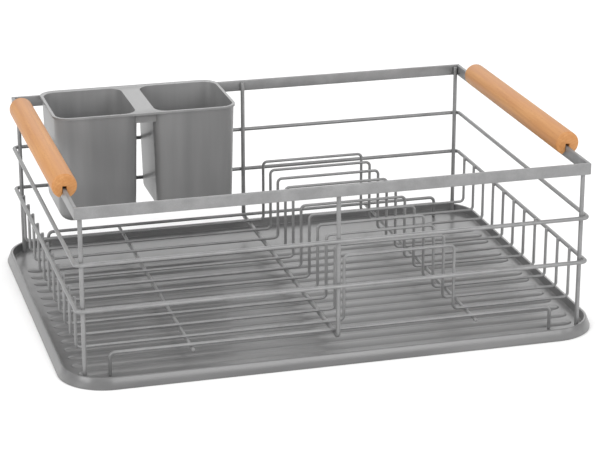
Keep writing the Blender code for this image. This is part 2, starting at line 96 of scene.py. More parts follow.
# ---- the workbench ---------------------------------------------------------------------
class Bench:
    """Edit-mode helpers: they hold a piece, select its parts by place and apply modifiers."""

    @staticmethod
    def clear() -> None:
        """Deselect every object."""
        bpy.ops.object.select_all(action="DESELECT")

    @staticmethod
    def hold(piece: bpy.types.Object) -> None:
        """Make one piece the only selected and the active object."""
        Bench.clear()
        piece.select_set(True)
        bpy.context.view_layer.objects.active = piece

    @staticmethod
    @contextmanager
    def editing(piece: bpy.types.Object, mode: str = "FACE") -> Iterator[None]:
        """Open a piece in edit mode and close it again afterwards.

        Args:
            piece: The object to edit.
            mode: The select mode: VERT, EDGE or FACE.
        """
        Bench.hold(piece)
        bpy.ops.object.mode_set(mode="EDIT")
        bpy.ops.mesh.select_mode(type=mode)
        yield
        bpy.ops.object.mode_set(mode="OBJECT")

    @staticmethod
    def settle(piece: bpy.types.Object, name: str) -> bpy.types.Object:
        """Name a new primitive and move its place into its mesh.

        Args:
            piece: The object that was just added.
            name: Its new name, given to its mesh too.

        Returns:
            The same object, at the origin, unturned and unscaled.
        """
        piece.name = name
        piece.data.name = name
        Bench.hold(piece)
        bpy.ops.object.transform_apply(location=True, rotation=True, scale=True)
        return piece

    @staticmethod
    def block(name: str, low: Sequence[float], high: Sequence[float]) -> bpy.types.Object:
        """Add a block between two corners.

        Args:
            name: The object's name.
            low: Its lowest corner.
            high: Its highest corner.

        Returns:
            The new object.
        """
        centre = [(a + b) / 2 for a, b in zip(low, high)]
        size = [b - a for a, b in zip(low, high)]
        Bench.clear()
        bpy.ops.mesh.primitive_cube_add(size=1.0, location=centre)
        bpy.context.object.scale = size
        return Bench.settle(bpy.context.object, name)

    @staticmethod
    def pick_faces(test: Callable[[bmesh.types.BMFace], bool]) -> int:
        """Select just the faces that pass a test, and return how many there are."""
        mesh = bpy.context.edit_object.data
        shape = bmesh.from_edit_mesh(mesh)
        for part in (*shape.verts, *shape.edges, *shape.faces):
            part.select_set(False)
        chosen = [face for face in shape.faces if test(face)]
        for face in chosen:
            face.select_set(True)
        bmesh.update_edit_mesh(mesh)
        return len(chosen)

    @staticmethod
    def pick_edges(test: Callable[[Vector, Vector], bool]) -> int:
        """Select just the edges whose two ends pass a test, and return how many there are."""
        mesh = bpy.context.edit_object.data
        shape = bmesh.from_edit_mesh(mesh)
        for part in (*shape.verts, *shape.edges, *shape.faces):
            part.select_set(False)
        chosen = [edge for edge in shape.edges if test(edge.verts[0].co, edge.verts[1].co)]
        for edge in chosen:
            edge.select_set(True)
        bmesh.update_edit_mesh(mesh)
        return len(chosen)

    @staticmethod
    def pick_points(test: Callable[[Vector], bool]) -> int:
        """Select just the points that pass a test, and return how many there are."""
        mesh = bpy.context.edit_object.data
        shape = bmesh.from_edit_mesh(mesh)
        for part in (*shape.verts, *shape.edges, *shape.faces):
            part.select_set(False)
        chosen = [vertex for vertex in shape.verts if test(vertex.co)]
        for vertex in chosen:
            vertex.select_set(True)
        shape.select_flush(True)
        bmesh.update_edit_mesh(mesh)
        return len(chosen)

    @staticmethod
    def apply(piece: bpy.types.Object, kind: str, **settings: object) -> None:
        """Add one modifier with its settings and apply it.

        Args:
            piece: The object to change.
            kind: The modifier's type, such as BEVEL.
            **settings: Values for the modifier's own properties.
        """
        modifier = piece.modifiers.new(kind.lower(), kind)
        for key, value in settings.items():
            setattr(modifier, key, value)
        Bench.hold(piece)
        bpy.ops.object.modifier_apply(modifier=modifier.name)

    @staticmethod
    def boolean(piece: bpy.types.Object, tool: bpy.types.Object, operation: str) -> None:
        """Join a tool to a piece or cut it away, and remove the tool."""
        Bench.apply(piece, "BOOLEAN", object=tool, operation=operation, solver="EXACT")
        bpy.data.objects.remove(tool)

    @staticmethod
    def copy(piece: bpy.types.Object, name: str, move: Matrix) -> bpy.types.Object:
        """Copy a finished piece with its own mesh, moved in its mesh.

        Args:
            piece: The piece to copy.
            name: The copy's name.
            move: The transform that takes the piece's mesh to the copy's place.

        Returns:
            The copy.
        """
        Bench.hold(piece)
        bpy.ops.object.duplicate()
        twin = bpy.context.object
        twin.data.transform(move)
        return Bench.settle(twin, name)

    @staticmethod
    def join(pieces: Sequence[bpy.types.Object], name: str) -> bpy.types.Object:
        """Join several objects into one mesh and name it."""
        Bench.hold(pieces[0])
        for other in pieces:
            other.select_set(True)
        bpy.ops.object.join()
        return Bench.settle(bpy.context.object, name)

    @staticmethod
    def smooth(piece: bpy.types.Object, angle: float = SMOOTH_ANGLE) -> None:
        """Merge doubles, turn the faces outwards and shade smooth up to an angle."""
        with Bench.editing(piece):
            bpy.ops.mesh.select_all(action="SELECT")
            bpy.ops.mesh.remove_doubles(threshold=1e-6)
            bpy.ops.mesh.normals_make_consistent(inside=False)
        Bench.hold(piece)
        bpy.ops.object.shade_smooth_by_angle(angle=angle)


# ---- finishes --------------------------------------------------------------------------
class NodeSheet:
    """The node tree of one material, filled in step by step."""

    def __init__(self, name: str) -> None:
        """Start a material of that name with its Principled shader."""
        self.material = bpy.data.materials.new(name)
        self.material.use_nodes = True
        self.tree = self.material.node_tree
        self.shader = self.tree.nodes["Principled BSDF"]
        self.place = self.node("ShaderNodeTexCoord").outputs["Object"]

    def node(self, kind: str, settings: dict[str, object] | None = None,
             **sockets: object) -> bpy.types.Node:
        """Add a node, set its properties and fill or link its inputs.

        Args:
            kind: The node's type.
            settings: Properties of the node itself.
            **sockets: Inputs by name, with _ for a space: a value, or an output to link.

        Returns:
            The new node.
        """
        made = self.tree.nodes.new(kind)
        for key, value in (settings or {}).items():
            setattr(made, key, value)
        for key, value in sockets.items():
            self.feed(made, key.replace("_", " "), value)
        return made

    def feed(self, node: bpy.types.Node, key: str | int, value: object) -> None:
        """Give a value to an input of a node, or link an output to it."""
        if isinstance(value, bpy.types.NodeSocket):
            self.tree.links.new(value, node.inputs[key])
        else:
            node.inputs[key].default_value = value

    def stretched(self, scale: Sequence[float], centre: Sequence[float] = (0, 0, 0)) -> object:
        """Return the object's coordinates about a centre, scaled along each axis.

        Args:
            scale: How often a pattern repeats in a metre along each axis.
            centre: The point that becomes the pattern's origin.

        Returns:
            The scaled coordinates.
        """
        shift = self.node("ShaderNodeVectorMath", {"operation": "SUBTRACT"})
        self.feed(shift, 0, self.place)
        self.feed(shift, 1, tuple(centre))
        sized = self.node("ShaderNodeVectorMath", {"operation": "MULTIPLY"})
        self.feed(sized, 0, shift.outputs[0])
        self.feed(sized, 1, tuple(scale))
        return sized.outputs[0]

    def noise(self, where: object, scale: float, detail: float, roughness: float = 0.5) -> object:
        """Return the grey value of a noise pattern."""
        made = self.node("ShaderNodeTexNoise", Vector=where, Scale=scale, Detail=detail,
                         Roughness=roughness)
        return made.outputs["Fac"]

    def spread(self, value: object, low: float, high: float, to_low: float = 0.0,
               to_high: float = 1.0) -> object:
        """Return a value stretched from one range to another, and kept inside it."""
        made = self.node("ShaderNodeMapRange", {"clamp": True}, Value=value, From_Min=low,
                         From_Max=high, To_Min=to_low, To_Max=to_high)
        return made.outputs["Result"]

    def mixed(self, share: object, first: object, second: object,
              blend: str = "MIX") -> object:
        """Return two colours mixed by a share.

        Args:
            share: How much of the second colour shows, as a value or an output.
            first: The first colour, as red, green and blue or an output.
            second: The second colour, in the same way.
            blend: The mix's blend type.

        Returns:
            The mixed colour.
        """
        made = self.node("ShaderNodeMix", {"data_type": "RGBA", "blend_type": blend})
        for index, value in ((0, share), (6, first), (7, second)):
            if isinstance(value, tuple):
                value = (*value, 1.0)
            self.feed(made, index, value)
        return made.outputs[2]

    def bump(self, height: object, distance: float, strength: float,
             under: object | None = None) -> object:
        """Return the normal of a surface with that relief.

        Args:
            height: The relief, from 0 to 1.
            distance: Its real height in metres.
            strength: How strongly it shows.
            under: The normal of a broader relief below it, if there is one.

        Returns:
            The normal.
        """
        made = self.node("ShaderNodeBump", Height=height, Distance=distance, Strength=strength)
        if under is not None:
            self.feed(made, "Normal", under)
        return made.outputs["Normal"]


@dataclass(frozen=True)
class PowderCoat:
    """Satin grey powder coat on steel: fine orange peel and slight mottling."""

    name: str = "grey_powder_coat"
    light: Colour = (0.245, 0.245, 0.246)
    dark: Colour = (0.20, 0.20, 0.201)
    metallic: float = 0.22
    smooth: float = 0.28
    rough: float = 0.40
    mottle: float = 55.0
    peel: float = 1500.0

    def material(self) -> bpy.types.Material:
        """Return the finished material."""
        sheet = NodeSheet(self.name)
        cloud = sheet.noise(sheet.place, self.mottle, 4.0, 0.6)
        grain = sheet.noise(sheet.place, self.peel, 2.0)
        share = sheet.spread(cloud, 0.35, 0.65)
        colour = sheet.mixed(share, self.dark, self.light)
        speck = sheet.spread(grain, 0.3, 0.7, 0.94, 1.04)
        tone = sheet.node("ShaderNodeVectorMath", {"operation": "SCALE"}, Scale=speck)
        sheet.feed(tone, 0, colour)
        sheet.feed(sheet.shader, "Base Color", tone.outputs[0])
        sheet.feed(sheet.shader, "Roughness", sheet.spread(cloud, 0.3, 0.7, self.smooth, self.rough))
        sheet.feed(sheet.shader, "Normal", sheet.bump(grain, 0.00004, 0.25))
        sheet.feed(sheet.shader, "Metallic", self.metallic)
        return sheet.material


@dataclass(frozen=True)
class MouldedPlastic:
    """Satin moulded plastic: fine spark-eroded grain and faint flow marks along one axis."""

    name: str
    light: Colour
    dark: Colour
    flow: tuple[float, float, float]
    smooth: float = 0.34
    rough: float = 0.44
    grain: float = 2200.0
    coat: float = 0.0
    coat_rough: float = 0.22

    def material(self) -> bpy.types.Material:
        """Return the finished material."""
        sheet = NodeSheet(self.name)
        marks = sheet.noise(sheet.stretched(self.flow), 1.0, 3.0, 0.55)
        cloud = sheet.noise(sheet.place, 9.0, 2.0)
        grain = sheet.noise(sheet.place, self.grain, 2.0)
        colour = sheet.mixed(sheet.spread(marks, 0.32, 0.68), self.dark, self.light)
        tone = sheet.node("ShaderNodeVectorMath", {"operation": "SCALE"},
                          Scale=sheet.spread(cloud, 0.3, 0.7, 0.96, 1.04))
        sheet.feed(tone, 0, colour)
        sheet.feed(sheet.shader, "Base Color", tone.outputs[0])
        sheet.feed(sheet.shader, "Roughness", sheet.spread(marks, 0.3, 0.7, self.smooth, self.rough))
        sheet.feed(sheet.shader, "Normal", sheet.bump(grain, 0.00003, 0.2))
        sheet.feed(sheet.shader, "Coat Weight", self.coat)
        sheet.feed(sheet.shader, "Coat Roughness", self.coat_rough)
        return sheet.material


@dataclass(frozen=True)
class Beech:
    """Oiled beech turned along Y: long grain, short dark flecks and rings on the ends."""

    name: str
    centre: tuple[float, float, float]
    pale: Colour = (0.545, 0.268, 0.092)
    mid: Colour = (0.45, 0.188, 0.053)
    deep: Colour = (0.34, 0.135, 0.036)
    pith: tuple[float, float] = (0.013, -0.018)
    grain_scale: tuple[float, float, float] = (260.0, 9.0, 260.0)
    cloud_scale: tuple[float, float, float] = (40.0, 6.0, 40.0)
    fleck_scale: tuple[float, float, float] = (1500.0, 170.0, 1500.0)
    ring_turns: float = 2600.0
    ring_wander: float = 6.0

    def material(self) -> bpy.types.Material:
        """Return the finished material."""
        sheet = NodeSheet(self.name)
        grain = sheet.noise(sheet.stretched(self.grain_scale, self.centre), 1.0, 5.0, 0.6)
        cloud = sheet.noise(sheet.stretched(self.cloud_scale, self.centre), 1.0, 2.0)
        flecks = sheet.noise(sheet.stretched(self.fleck_scale, self.centre), 1.0, 1.0)
        heart = (self.centre[0] + self.pith[0], self.centre[1], self.centre[2] + self.pith[1])
        reach = sheet.node("ShaderNodeVectorMath", {"operation": "LENGTH"})
        sheet.feed(reach, 0, sheet.stretched((1.0, 0.0, 1.0), heart))
        rings = sheet.node("ShaderNodeMath", {"operation": "SINE"})
        turns = sheet.node("ShaderNodeMath", {"operation": "MULTIPLY_ADD"})
        sheet.feed(turns, 0, reach.outputs["Value"])
        sheet.feed(turns, 1, self.ring_turns)
        sheet.feed(turns, 2, sheet.spread(cloud, 0.2, 0.8, 0.0, self.ring_wander))
        sheet.feed(rings, 0, turns.outputs[0])
        body = sheet.mixed(sheet.spread(grain, 0.36, 0.62), self.mid, self.pale)
        body = sheet.mixed(sheet.spread(rings.outputs[0], 0.2, 1.0, 0.0, 0.28), body, self.deep)
        body = sheet.mixed(sheet.spread(flecks, 0.62, 0.72, 0.0, 0.5), body, self.deep)
        body = sheet.mixed(sheet.spread(cloud, 0.40, 0.66, 0.0, 0.55), body, self.mid)
        sheet.feed(sheet.shader, "Base Color", body)
        sheet.feed(sheet.shader, "Roughness", sheet.spread(grain, 0.3, 0.7, 0.42, 0.56))
        relief = sheet.bump(grain, 0.00008, 0.25)
        sheet.feed(sheet.shader, "Normal", sheet.bump(flecks, 0.00005, 0.15, relief))
        return sheet.material


@dataclass(frozen=True)
class PaleFloor:
    """A plain, matt, nearly white studio floor."""

    name: str = "pale_floor"
    tone: float = 0.95

    def material(self) -> bpy.types.Material:
        """Return the finished material."""
        sheet = NodeSheet(self.name)
        cloud = sheet.noise(sheet.place, 3.0, 2.0)
        low, high = (self.tone - 0.01,) * 3, (self.tone + 0.01,) * 3
        sheet.feed(sheet.shader, "Base Color", sheet.mixed(cloud, low, high))
        sheet.feed(sheet.shader, "Roughness", 0.8)
        return sheet.material


def dress(piece: bpy.types.Object, material: bpy.types.Material, body: Body, slot: Slot,
          *nodes: str) -> bpy.types.Object:
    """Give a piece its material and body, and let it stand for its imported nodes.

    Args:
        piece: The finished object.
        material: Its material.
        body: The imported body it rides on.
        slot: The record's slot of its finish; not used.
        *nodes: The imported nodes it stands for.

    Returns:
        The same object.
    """
    piece.data.materials.clear()
    piece.data.materials.append(material)
    if nodes:
        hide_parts(*nodes)
    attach(piece, body.value)
    LOG.info("%s: %d faces, on %s", piece.name, len(piece.data.polygons), body.value)
    return piece


def middle(node: str) -> Vector:
    """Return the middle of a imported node's box."""
    low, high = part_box(node)
    return (low + high) / 2


# ---- bent wire -------------------------------------------------------------------------
@dataclass
class BentWire:
    """A round wire with straight runs and one bend radius, modelled as it is bent by hand."""

    name: str
    corners: Sequence[Vector]
    diameter: float
    bend: float
    closed: bool = False
    sides: int = 18
    bend_steps: int = 8
    end_round: float = 0.3 * MM

    def build(self) -> bpy.types.Object:
        """Extrude and spin a disc along the wire's path.

        Returns:
            The wire, closed at its ends or joined to itself.
        """
        corners = [Vector(corner) for corner in self.corners]
        if self.closed:
            start = (corners[0] + corners[-1]) / 2
            corners = [start, *corners, start]
        first = (corners[1] - corners[0]).normalized()
        turn = first.to_track_quat("Z", "Y").to_euler()
        Bench.clear()
        bpy.ops.mesh.primitive_circle_add(vertices=self.sides, radius=self.diameter / 2,
                                          fill_type="NGON", location=corners[0], rotation=turn)
        piece = Bench.settle(bpy.context.object, self.name)
        with Bench.editing(piece):
            bpy.ops.mesh.select_all(action="SELECT")
            self._follow(corners)
            if self.closed:
                self._close(corners[0], first)
            elif self.end_round:
                self._ease_ends(corners)
        Bench.smooth(piece)
        return piece

    def _follow(self, corners: Sequence[Vector]) -> None:
        """Extrude along each straight run and spin round each bend."""
        at = corners[0]
        for before, corner, after in zip(corners, corners[1:], corners[2:]):
            into = (corner - before).normalized()
            out = (after - corner).normalized()
            angle = into.angle(out)
            reach = self.bend * math.tan(angle / 2)
            stop = corner - into * reach
            bpy.ops.mesh.extrude_region_move(TRANSFORM_OT_translate={"value": stop - at})
            inward = (out - into * into.dot(out)).normalized()
            bpy.ops.mesh.spin(steps=self.bend_steps, angle=angle,
                              center=stop + inward * self.bend, axis=-into.cross(out))
            at = corner + out * reach
        bpy.ops.mesh.extrude_region_move(TRANSFORM_OT_translate={"value": corners[-1] - at})

    def _close(self, seam: Vector, along: Vector) -> None:
        """Take away the two discs at the seam, so that the wire joins itself there."""
        Bench.pick_faces(lambda face: len(face.verts) == self.sides
                         and abs((face.calc_center_median() - seam).dot(along)) < 1e-5)
        bpy.ops.mesh.delete(type="FACE")

    def _ease_ends(self, corners: Sequence[Vector]) -> None:
        """Round the cut edges of the wire's two ends."""
        Bench.pick_faces(lambda face: len(face.verts) == self.sides)
        bpy.ops.mesh.bevel(offset=self.end_round, segments=2, affect="EDGES")


# ---- the drip tray ---------------------------------------------------------------------
@dataclass
class DripTray:
    """The shallow moulded tray with its rolled rim and the low ribs of its floor."""

    node: str = "drip_tray"
    corner_radius: float = 41.0 * MM
    corner_steps: int = 20
    wall_width: float = 5.6 * MM
    floor: float = 2.0 * MM
    draft: float = 3.4 * MM
    foot: float = 1.3 * MM
    foot_bevel: float = 0.5 * MM
    lip_roll: float = 0.6 * MM
    inner_draft: float = 0.4 * MM
    fillet: float = 0.8 * MM
    rib_pitch: float = 18.0 * MM
    rib_width: float = 12.0 * MM
    rib_height: float = 1.5 * MM
    rib_front_margin: float = 23.4 * MM
    rib_rear_margin: float = 57.4 * MM
    rib_end_margin: float = 8.4 * MM
    rib_end_stretch: float = 1.6
    finish: MouldedPlastic = MouldedPlastic(
        "tray_plastic", (0.15, 0.15, 0.15), (0.105, 0.105, 0.106), (7.0, 70.0, 70.0),
        smooth=0.34, rough=0.44, coat=0.45)
    low: Vector = field(init=False)
    high: Vector = field(init=False)

    def __post_init__(self) -> None:
        """Take the tray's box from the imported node."""
        self.low, self.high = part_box(self.node)

    def build(self) -> bpy.types.Object:
        """Model the tray, press its ribs in and dress it."""
        tray = self._shell()
        Bench.boolean(tray, self._ribs(), "UNION")
        Bench.smooth(tray)
        return dress(tray, self.finish.material(), Body.TRAY, Slot.TRAY, self.node)

    def _shell(self) -> bpy.types.Object:
        """Return the tray without its ribs."""
        tray = Bench.block("moulded_tray", self.low, self.high)
        top, bottom = self.high.z, self.low.z
        length, depth = self.high.x - self.low.x, self.high.y - self.low.y
        flat = 1e-5
        lip_edge = self.wall_width - 0.2 * MM
        with Bench.editing(tray, "EDGE"):
            Bench.pick_edges(lambda a, b: abs(a.z - b.z) > self.floor)
            bpy.ops.mesh.bevel(offset=self.corner_radius, segments=self.corner_steps,
                               affect="EDGES")
        with Bench.editing(tray):
            Bench.pick_faces(lambda face: face.normal.z > 0.9)
            bpy.ops.mesh.inset(thickness=self.draft, depth=0)
        with Bench.editing(tray, "VERT"):
            Bench.pick_points(lambda point: point.z > top - flat
                              and self._inset(point) < self.draft / 2)
            bpy.ops.transform.translate(value=(0, 0, bottom + self.foot - top))
        with Bench.editing(tray):
            Bench.pick_faces(lambda face: face.normal.z > 0.99
                             and face.calc_center_median().z > top - flat)
            bpy.ops.mesh.inset(thickness=self.wall_width - self.draft, depth=0)
            bpy.ops.mesh.extrude_region_move(
                TRANSFORM_OT_translate={"value": (0, 0, self.floor - (top - bottom))})
            bpy.ops.transform.resize(value=(
                1 - 2 * self.inner_draft / (length - 2 * self.wall_width),
                1 - 2 * self.inner_draft / (depth - 2 * self.wall_width), 1))
        with Bench.editing(tray, "EDGE"):
            Bench.pick_edges(lambda a, b: min(a.z, b.z) > top - flat
                             and (self._inset(a) < lip_edge) == (self._inset(b) < lip_edge))
            bpy.ops.mesh.bevel(offset=self.lip_roll, segments=4, affect="EDGES")
            level = bottom + self.floor
            Bench.pick_edges(lambda a, b: abs(a.z - level) < flat and abs(b.z - level) < flat)
            bpy.ops.mesh.bevel(offset=self.fillet, segments=4, affect="EDGES")
            Bench.pick_edges(lambda a, b: max(a.z, b.z) < bottom + flat)
            bpy.ops.mesh.bevel(offset=self.foot_bevel, segments=3, affect="EDGES")
        return tray

    def _inset(self, point: Vector) -> float:
        """Return how far a point lies inside the tray's rounded outline."""
        past_x = abs(point.x) - (self.high.x - self.corner_radius)
        past_y = abs(point.y) - (self.high.y - self.corner_radius)
        if past_x > 0 and past_y > 0:
            return self.corner_radius - math.hypot(past_x, past_y)
        return self.corner_radius - max(past_x, past_y)

    def _rib_half_length(self, y: float) -> float:
        """Return how far a rib reaches from the middle, inside the tray's rounded corners."""
        inset = self.wall_width + self.rib_end_margin
        radius = self.corner_radius - inset
        straight = self.high.x - self.corner_radius
        past = abs(y) + self.rib_width / 2 - (self.high.y - self.corner_radius)
        if past <= 0:
            return straight + radius
        return straight + math.sqrt(max(0.0, radius ** 2 - past ** 2))

    def _ribs(self) -> bpy.types.Object:
        """Return the ribs: long squashed capsules, half sunk in the floor."""
        front = self.low.y + self.wall_width + self.rib_front_margin + self.rib_width / 2
        rear = self.high.y - self.wall_width - self.rib_rear_margin - self.rib_width / 2
        count = int((rear - front) / self.rib_pitch + 1e-6) + 1
        Bench.clear()
        bpy.ops.mesh.primitive_uv_sphere_add(segments=28, ring_count=14,
                                             radius=self.rib_width / 2,
                                             rotation=(0, math.pi / 2, 0))
        pattern = Bench.settle(bpy.context.object, "rib_pattern")
        squash = self.rib_height / (self.rib_width / 2)
        with Bench.editing(pattern, "VERT"):
            bpy.ops.mesh.select_all(action="SELECT")
            bpy.ops.transform.resize(value=(self.rib_end_stretch, 1, squash))
        ribs = []
        for index in range(count):
            y = front + index * self.rib_pitch
            rib = Bench.copy(pattern, "rib_%02d" % index,
                             Matrix.Translation((0, y, self.low.z + self.floor)))
            half = self._rib_half_length(y) - self.rib_width / 2 * self.rib_end_stretch
            with Bench.editing(rib, "VERT"):
                for side in (-1, 1):
                    Bench.pick_points(lambda point: point.x * side > 1e-5)
                    bpy.ops.transform.translate(value=(side * half, 0, 0))
            ribs.append(rib)
        bpy.data.objects.remove(pattern)
        return Bench.join(ribs, "tray_ribs")


# ---- the rim ---------------------------------------------------------------------------
@dataclass
class Rim:
    """The four flat bars on edge that frame the basket's top."""

    edge: float = 0.7 * MM
    edge_steps: int = 3
    finish: PowderCoat = PowderCoat()

    def build(self) -> list[bpy.types.Object]:
        """Model and dress the four bars."""
        coat = self.finish.material()
        bars = []
        for place in ("front", "rear", "left", "right"):
            node = "rim_bar_" + place
            low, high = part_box(node)
            bar = Bench.block("flat_bar_" + place, low, high)
            with Bench.editing(bar, "EDGE"):
                bpy.ops.mesh.select_all(action="SELECT")
                bpy.ops.mesh.bevel(offset=self.edge, segments=self.edge_steps, affect="EDGES")
            Bench.smooth(bar)
            bars.append(dress(bar, coat, Body.BASKET, Slot.STEEL, node))
        return bars


# ---- the basket's wires ----------------------------------------------------------------
@dataclass
class Basket:
    """The posts, loops, cross wires and foot wires that the basket is welded from."""

    post_diameter: float = 3.8 * MM
    loop_diameter: float = 3.5 * MM
    cross_diameter: float = 3.0 * MM
    loop_bend: float = 5.0 * MM
    foot_bend: float = 4.5 * MM
    middle_bend: float = 4.0 * MM
    finish: PowderCoat = PowderCoat()

    def build(self) -> list[bpy.types.Object]:
        """Model and dress every wire of the basket but the formed ones."""
        coat = self.finish.material()
        made = [(wire, node) for maker in (self._posts, self._loops, self._middle_wire,
                                           self._cross_wires, self._foot_wires)
                for wire, node in maker()]
        return [dress(wire, coat, Body.BASKET, Slot.STEEL, node) for wire, node in made]

    def _posts(self) -> list[tuple[bpy.types.Object, str]]:
        """Return the four corner posts: one is modelled and the others are its copies."""
        places = {(row, side): "corner_post_%s_%s" % (row.name.lower(), side.name.lower())
                  for row in Row for side in Side}
        pairs: list[tuple[bpy.types.Object, str]] = []
        for node in places.values():
            low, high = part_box(node)
            centre = (low + high) / 2
            if not pairs:
                ends = [Vector((centre.x, centre.y, low.z)), Vector((centre.x, centre.y, high.z))]
                first = centre
                post = BentWire("post_wire_1", ends, self.post_diameter, 0.0).build()
            else:
                post = Bench.copy(pairs[0][0], "post_wire_%d" % (len(pairs) + 1),
                                  Matrix.Translation(centre - first))
            pairs.append((post, node))
        return pairs

    def _loops(self) -> list[tuple[bpy.types.Object, str]]:
        """Return the two loops: the upper one is modelled and the lower one is its copy."""
        low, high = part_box("upper_loop")
        inset = self.loop_diameter / 2
        level = (low.z + high.z) / 2
        corners = [Vector((x, y, level)) for x, y in (
            (high.x - inset, high.y - inset), (low.x + inset, high.y - inset),
            (low.x + inset, low.y + inset), (high.x - inset, low.y + inset))]
        upper = BentWire("loop_wire_upper", corners, self.loop_diameter, self.loop_bend,
                         closed=True, sides=20).build()
        drop = middle("lower_loop") - middle("upper_loop")
        lower = Bench.copy(upper, "loop_wire_lower", Matrix.Translation(drop))
        return [(upper, "upper_loop"), (lower, "lower_loop")]

    def _middle_wire(self) -> list[tuple[bpy.types.Object, str]]:
        """Return the rod bent into the two middle posts and the cross wire between them."""
        low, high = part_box("middle_u_wire")
        inset = self.post_diameter / 2
        x = (low.x + high.x) / 2
        corners = [Vector((x, low.y + inset, high.z)), Vector((x, low.y + inset, low.z + inset)),
                   Vector((x, high.y - inset, low.z + inset)), Vector((x, high.y - inset, high.z))]
        return [(BentWire("middle_wire", corners, self.post_diameter, self.middle_bend).build(),
                 "middle_u_wire")]

    def _cross_wires(self) -> list[tuple[bpy.types.Object, str]]:
        """Return the two straight wires under the basket's floor."""
        pairs = []
        for side in Side:
            node = "cross_wire_" + side.name.lower()
            low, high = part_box(node)
            centre = (low + high) / 2
            ends = [Vector((centre.x, low.y, centre.z)), Vector((centre.x, high.y, centre.z))]
            wire = BentWire("cross_rod_" + side.name.lower(), ends, self.cross_diameter, 0.0)
            pairs.append((wire.build(), node))
        return pairs

    def _foot_wires(self) -> list[tuple[bpy.types.Object, str]]:
        """Return the two foot wires, whose ends are bent down to stand on the tray."""
        pairs = []
        inset = self.cross_diameter / 2
        for row in Row:
            node = "foot_wire_" + row.name.lower()
            low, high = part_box(node)
            y = (low.y + high.y) / 2
            corners = [Vector((low.x + inset, y, low.z)), Vector((low.x + inset, y, high.z - inset)),
                       Vector((high.x - inset, y, high.z - inset)), Vector((high.x - inset, y, low.z))]
            wire = BentWire("foot_rod_" + row.name.lower(), corners, self.cross_diameter,
                            self.foot_bend)
            pairs.append((wire.build(), node))
        return pairs


@dataclass
class PlateRack:
    """The formed wires: comb, floor run, plate hoop, floor run and comb in one rod."""

    count: int = 11
    diameter: float = 2.6 * MM
    hoop_left: float = 13.0 * MM
    hoop_width: float = 98.0 * MM
    hoop_height: float = 58.0 * MM
    bend: float = 4.0 * MM
    comb_overrun: float = 2.0 * MM
    finish: PowderCoat = PowderCoat()

    def node(self, index: int) -> str:
        """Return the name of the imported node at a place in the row, counted from 0."""
        return "plate_wire_%02d" % (index + 1)

    def build(self) -> list[bpy.types.Object]:
        """Model the front wire, copy it along the row and dress all of them."""
        coat = self.finish.material()
        first = BentWire("formed_wire_01", self._corners(), self.diameter, self.bend).build()
        start = middle(self.node(0))
        wires = [first]
        for index in range(1, self.count):
            move = Matrix.Translation(middle(self.node(index)) - start)
            wires.append(Bench.copy(first, "formed_wire_%02d" % (index + 1), move))
        return [dress(wire, coat, Body.BASKET, Slot.STEEL, self.node(index))
                for index, wire in enumerate(wires)]

    def _corners(self) -> list[Vector]:
        """Return the corners of the front wire's path."""
        low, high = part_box(self.node(0))
        inset = self.diameter / 2
        y = (low.y + high.y) / 2
        left, right, level = low.x + inset, high.x - inset, low.z + inset
        hoop_right, hoop_top = self.hoop_left + self.hoop_width, level + self.hoop_height
        comb_top = middle("lower_loop").z + self.comb_overrun
        outline = ((left, comb_top), (left, level), (self.hoop_left, level),
                   (self.hoop_left, hoop_top), (hoop_right, hoop_top), (hoop_right, level),
                   (right, level), (right, comb_top))
        return [Vector((x, y, z)) for x, z in outline]


# ---- the handles -----------------------------------------------------------------------
@dataclass
class Handles:
    """The two beech dowels, slotted from below to sit over the side bars."""

    sides: int = 64
    end_round: float = 1.6 * MM
    slot_width: float = 3.6 * MM
    slot_mouth: float = 4.0 * MM
    slot_edge: float = 0.4 * MM

    def build(self) -> list[bpy.types.Object]:
        """Model the left dowel, copy it to the right and dress both."""
        left = self._dowel()
        step = middle("handle_right") - middle("handle_left")
        right = Bench.copy(left, "dowel_right", Matrix.Translation(step))
        pieces = []
        for piece, node in ((left, "handle_left"), (right, "handle_right")):
            low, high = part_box(node)
            centre = ((low.x + high.x) / 2, (low.y + high.y) / 2, high.z - (high.x - low.x) / 2)
            wood = Beech("beech_" + node, centre).material()
            pieces.append(dress(piece, wood, Body.BASKET, Slot.WOOD, node))
        return pieces

    def _dowel(self) -> bpy.types.Object:
        """Return the left dowel."""
        low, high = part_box("handle_left")
        radius = (high.x - low.x) / 2
        centre = Vector(((low.x + high.x) / 2, (low.y + high.y) / 2, high.z - radius))
        Bench.clear()
        bpy.ops.mesh.primitive_cylinder_add(vertices=self.sides, radius=radius,
                                            depth=high.y - low.y, location=centre,
                                            rotation=(math.pi / 2, 0, 0))
        dowel = Bench.settle(bpy.context.object, "dowel_left")
        with Bench.editing(dowel):
            Bench.pick_faces(lambda face: len(face.verts) == self.sides)
            bpy.ops.mesh.bevel(offset=self.end_round, segments=5, affect="EDGES")
        for cutter in self._slot(centre, radius, high.y - low.y):
            Bench.boolean(dowel, cutter, "DIFFERENCE")
        Bench.apply(dowel, "BEVEL", width=self.slot_edge, segments=3, limit_method="ANGLE",
                    angle_limit=math.radians(30))
        Bench.smooth(dowel)
        return dowel

    def _slot(self, centre: Vector, radius: float, length: float) -> list[bpy.types.Object]:
        """Return the cutters of the slot: a straight one and a flared one at its open edge."""
        half = self.slot_width / 2
        slot = Bench.block("slot_cutter",
                           (centre.x - half, centre.y - length, centre.z - 2 * radius),
                           (centre.x + half, centre.y + length, centre.z))
        reach = half + self.slot_mouth
        flare = Bench.block("flare_cutter",
                            (centre.x - reach, centre.y - length, centre.z - radius),
                            (centre.x + reach, centre.y + length,
                             centre.z - radius + self.slot_mouth))
        with Bench.editing(flare):
            Bench.pick_faces(lambda face: face.normal.z > 0.9)
            bpy.ops.transform.resize(value=(half / reach * 0.98, 1, 1))
        return [slot, flare]


